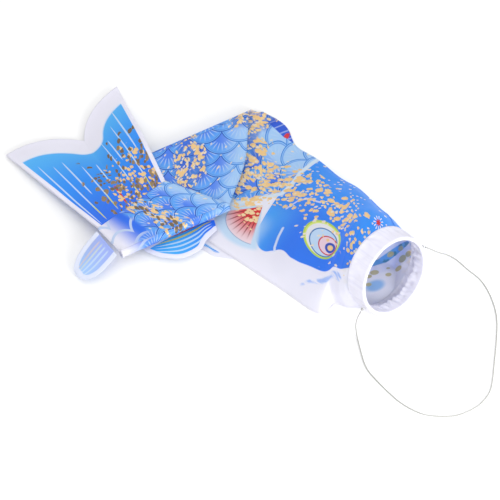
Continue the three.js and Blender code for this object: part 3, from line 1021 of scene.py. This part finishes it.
def add_tail_fin():
    front = paint_tail_fin("tail_fin_print")
    back = paint_tail_fin("tail_fin_print_back", reverse=True)
    for side, node, parent, child in (
        (1, "tail_fin_right", "tail_fin_under", "tail_fin_over"),
        (-1, "tail_fin_left", "tail", "tail_fin_under"),
    ):
        fin = grid(
            node.replace("fin", "fin_cloth"), 90, 100, tail_fin_layer(side),
            lambda a, b, points: np.column_stack([a, b]), tail_fin_rim, turned=side > 0,
        )
        thicken(fin, front, back)
        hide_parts(node)
        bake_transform(fin)
        outline = [FIN_ROOT_BELLY, *fin_edge(np.linspace(0, 1, 81)), FIN_ROOT_DORSAL]
        outline_area(outline) * MM**2


def leaf(lower, upper, height):
    """A fin between a lower and an upper edge, both from its base to its tip."""

    def surface(a, b):
        low, high = (spline([(*p, 0) for p in edge], a) for edge in (lower, upper))
        points = low + (high - low) * b[:, None]
        points[:, 2] = height(a, b) + 0.5 * ripple(points, 16, 8) * np.sin(np.pi * b) * smooth(a, 0, 0.2)
        return points

    return surface


def leaf_rim(lower, upper, margin):
    def rim_at(a, b, points):
        s = np.linspace(0, 1, 41)
        away = [distance_to(points, spline([(*p, 0) for p in edge], s)) for edge in (lower, upper)]
        return np.minimum(*away) / margin

    return rim_at


def paint_leaf(name, rays, wash=0.0):
    cloth = Cloth(name, ROYAL)
    a, b = cloth.u, cloth.v
    rim = cloth.attribute("rim")
    cloth.layer(colour(66, 184, 252), a.ramp(0.05, 0.6))
    for spot, tint in rays:
        width = a.curve([(0, 0.02), (0.3, 0.03), (0.8, 0.004)])
        here = ((b - spot).abs() - width).ramp(0.006, -0.006) * a.ramp(0.82, 0.7) * a.ramp(0.04, 0.1)
        cloth.layer(tint, here * 0.9)
    cloth.layer(WHITE, (rim - 1).ramp(0.06, -0.06))
    if wash:
        cloth.layer(colour(226, 236, 252), wash)
    return cloth.finish()


PALE_RAY = colour(206, 234, 252)
RIGHT_PECTORAL = (
    [(-33, 20), (-43, 8), (-49.5, -4.2), (-67, -14), (-87, -13.2), (-101, -7.5), (-107, -2.6)],
    [(-37, 37), (-46, 35), (-58, 29), (-72, 21), (-88, 12), (-100, 4), (-107, -1.4)],
)
LEFT_PECTORAL = (
    [(-13, -12), (-24.2, -9.8), (-37, -7.2), (-46, -0.6), (-60, 5.4), (-72, 11), (-80, 19)],
    [(-16, -9.4), (-26, -1.6), (-38, 8), (-50, 17.4), (-62, 25.6), (-72, 29.6), (-80, 29)],
)
PELVIC = (
    [(-132.5, -16.5), (-141, -27), (-150, -36), (-160, -40.6), (-168, -39), (-172.5, -33)],
    [(-153.3, 12.5), (-162, 2), (-169.5, -9), (-174.5, -20), (-175.5, -28), (-173.5, -32)],
)


def add_leaf_fins():
    yellow, red = colour(224, 214, 90), colour(214, 90, 96)
    rays = [*((spot, PALE_RAY) for spot in (0.12, 0.27, 0.42, 0.56)), (0.7, yellow), (0.84, red)]
    front = paint_leaf("pectoral_print", rays)
    back = paint_leaf("pectoral_print_back", rays, wash=0.6)
    rays = [(0.3, PALE_RAY), (0.45, PALE_RAY), (0.58, colour(214, 222, 190)), (0.7, colour(214, 170, 200))]
    pale = paint_leaf("pelvic_print", rays, wash=0.6)
    drape = lambda a, b: 6.6 - 1.2 * smooth(a, 0.3, 1)
    slope = lambda a, b: 15.2 - 12.6 * a
    level = lambda a, b: 0.55 + 0 * a
    for node, edges, margin, height, prints, body, cut in (
        ("pectoral_fin_right", RIGHT_PECTORAL, 5.0, drape, (front, back), "pectoral_right", (0.0343, 0.0804)),
        ("pectoral_fin_left", LEFT_PECTORAL, 4.5, level, (front, back), "pectoral_left", (0.0177, 0.0785)),
        ("pelvic_fin", PELVIC, 5.0, slope, (pale, front), "pelvic", (0.0349, 0.049)),
    ):
        fin = grid(
            node + "_cloth", 60, 36, leaf(*edges, height),
            lambda a, b, points: np.column_stack([a, b]), leaf_rim(*edges, margin), turned=True,
        )
        thicken(fin, *prints)
        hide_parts(node)
        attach(fin, body)
        s = np.linspace(0, 1, 81)
        low, high = (spline([(*p, 0) for p in edge], s) for edge in edges)
        outline_area([*low, *high[::-1]]) * MM**2


def plain_material(name, tint, roughness, metallic=0.0, grain=0.002):
    material = bpy.data.materials.new(name)
    material.use_nodes = True
    tree = material.node_tree
    shader = tree.nodes["Principled BSDF"]
    shader.inputs["Metallic"].default_value = metallic
    where = tree.nodes.new("ShaderNodeTexCoord")
    speckle = tree.nodes.new("ShaderNodeTexNoise")
    speckle.inputs["Scale"].default_value = 1 / grain
    tree.links.new(where.outputs["Object"], speckle.inputs["Vector"])
    fac = Num(tree, speckle.outputs["Fac"])
    mix = tree.nodes.new("ShaderNodeMix")
    mix.data_type = "RGBA"
    feed(tree, mix.inputs[0], fac)
    mix.inputs[6].default_value = tint
    mix.inputs[7].default_value = tuple(c * 0.82 for c in tint[:3]) + (1,)
    tree.links.new(mix.outputs[2], shader.inputs["Base Color"])
    feed(tree, shader.inputs["Roughness"], fac * 0.2 + (roughness - 0.1))
    return material


def rolled_edge(name, line, other, gap_at, folds, on_belly, upright_at=None):
    """The turned and sewn edge between the two layers of a section, along line and away from other."""

    def surface(a, b):
        edge = spline(line, a)
        outward = edge - spline(other, a)
        outward /= np.linalg.norm(outward, axis=1)[:, None]
        up = np.array([[0, 0, 1.0]]) if upright_at is None else upright_at(a)
        turn = 2 * np.pi * b
        stitches = 1 + 0.12 * np.sin(a * 330)
        half = (gap_at(a) + 0.5 * CLOTH) * stitches
        points = edge + outward * (0.25 + 0.6 * np.cos(turn))[:, None] + up * (half * np.sin(turn))[:, None]
        points[:, 2] = np.maximum(points[:, 2], 0.1)
        return points

    beside = 0.006 if on_belly else 0.994
    print_at = lambda a, b, points: body_print(folds)(a, np.full_like(b, beside), points)
    ends = spline(line, np.array([0.4, 0.6]))
    outward = ends[0] - spline(other, np.array([0.4]))[0]
    turned = np.cross(ends[1] - ends[0], [0, 0, 1]) @ outward < 0
    return grid(name, 260, 10, surface, print_at, turned=turned)


def head_upright(a):
    upright = np.minimum(1, a * LAST / UPRIGHT_STATION)[:, None]
    away = TO_RIGHT_SIDE * (1 - upright) + np.array([0, 0, 1]) * upright
    return away / np.linalg.norm(away, axis=1)[:, None]


def add_seams():
    opened = FOLD_GAP - SEAM_GAP
    to_fold = lambda a: SEAM_GAP + opened * smooth(a, 0.93, 1)
    between = lambda a: SEAM_GAP + opened * (smooth(a, 0.1, 0) + smooth(a, 0.9, 1))
    from_fold = lambda a: SEAM_GAP + opened * smooth(a, 0.1, 0)
    edges = []
    for section, belly, dorsal, gap_at, folds, upright_at in (
        ("head", BELLY_EDGE, DORSAL_EDGE, to_fold, [], head_upright),
        ("mid", MID_BELLY, MID_DORSAL, between, [FOLD_ONE], None),
        ("tail", TAIL_BELLY, TAIL_DORSAL, from_fold, [FOLD_TWO, FOLD_ONE], None),
    ):
        for side, line, other in (("belly", belly, dorsal), ("dorsal", dorsal, belly)):
            name = f"{section}_edge_{side}"
            edge = rolled_edge(name, line, other, gap_at, folds, side == "belly", upright_at)
            edge.data.materials.append(PRINT)
            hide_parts(f"{section}_seam_{side}")
            if section == "head":
                ride_neck(edge)
            else:
                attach(edge, section)
            edges.append(edge)
    return edges


def dress(name, material):
    """Gives a CAD node that stays in view its material."""
    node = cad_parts[name]
    node.data.materials.clear()
    node.data.materials.append(material)
    return node


def add_hoop():
    dress("mouth_hoop", plain_material("hoop_wire", colour(190, 192, 198), 0.35, 0.9))


def add_bridle():
    string = plain_material("bridle_string", colour(178, 178, 174), 0.75, grain=0.0006)
    path = spline(CORD_ROUTE, np.linspace(0, 1, 4 * len(CORD_ROUTE)))
    curve = bpy.data.curves.new("bridle", "CURVE")
    curve.dimensions = "3D"
    curve.bevel_depth = CORD_RADIUS * MM
    curve.bevel_resolution = 3
    line = curve.splines.new("POLY")
    line.points.add(len(path) - 1)
    for spot, where in zip(line.points, path):
        spot.co = (*place(where), 1)
    bridle = bpy.data.objects.new("bridle", curve)
    bpy.context.scene.collection.objects.link(bridle)
    bridle.data.materials.append(string)
    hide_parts("bridle_cord")
    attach(bridle, "bridle")
    knots = [dress(name, string) for name in KNOTS]


def add_stage():
    bpy.ops.mesh.primitive_plane_add(size=12, location=(0, 0, -0.0002))
    floor = bpy.context.object
    floor.name = "floor"
    material = bpy.data.materials.new("floor_white")
    material.use_nodes = True
    shader = material.node_tree.nodes["Principled BSDF"]
    shader.inputs["Base Color"].default_value = (0.96, 0.96, 0.96, 1)
    shader.inputs["Roughness"].default_value = 0.9
    shader.inputs["Specular IOR Level"].default_value = 0.1
    floor.data.materials.append(material)
    scene = bpy.context.scene
    scene.view_settings.view_transform = "Standard"
    world = bpy.data.worlds.new("studio")
    scene.world = world
    world.use_nodes = True
    background = world.node_tree.nodes["Background"]
    background.inputs[0].default_value = (1, 1, 1, 1)
    background.inputs[1].default_value = 0.93
    centre = Vector((0, 0, 0))
    mouth = place(HOOP_CENTRE)
    for name, where, towards, size, power in (
        ("key", Vector((1.15, -1.35, 0.8)), centre, 0.9, 13),
        ("top", Vector((-0.3, 0.3, 1.9)), centre, 2.0, 4.5),
        ("into_mouth", place(HOOP_CENTRE + 450 * OUT_OF_MOUTH), mouth, 0.12, 0.9),
    ):
        lamp = bpy.data.lights.new(name, "AREA")
        lamp.size = size
        lamp.energy = power
        thing = bpy.data.objects.new(name, lamp)
        thing.location = where
        thing.rotation_euler = (towards - where).to_track_quat("-Z", "Y").to_euler()
        scene.collection.objects.link(thing)


CAMERA_ELEVATION = math.radians(55)
CAMERA_DISTANCE = 8.33
CAMERA_LENS = 600


def add_camera():
    camera = bpy.data.cameras.new("camera")
    camera.lens = CAMERA_LENS
    camera.sensor_width = 36
    camera.clip_end = 50
    thing = bpy.data.objects.new("camera", camera)
    towards = Vector((0, -math.cos(CAMERA_ELEVATION), math.sin(CAMERA_ELEVATION)))
    thing.location = place((0, 0, 0)) + CAMERA_DISTANCE * towards
    thing.rotation_euler = (math.pi / 2 - CAMERA_ELEVATION, 0, 0)
    bpy.context.scene.collection.objects.link(thing)
    bpy.context.scene.camera = thing


add_camera()
add_stage()
add_bridle()
sections = add_body()
turns = add_folds()
declare_body(turns, add_seams())
add_mouth()
add_tail_fin()
add_leaf_fins()
add_hoop()
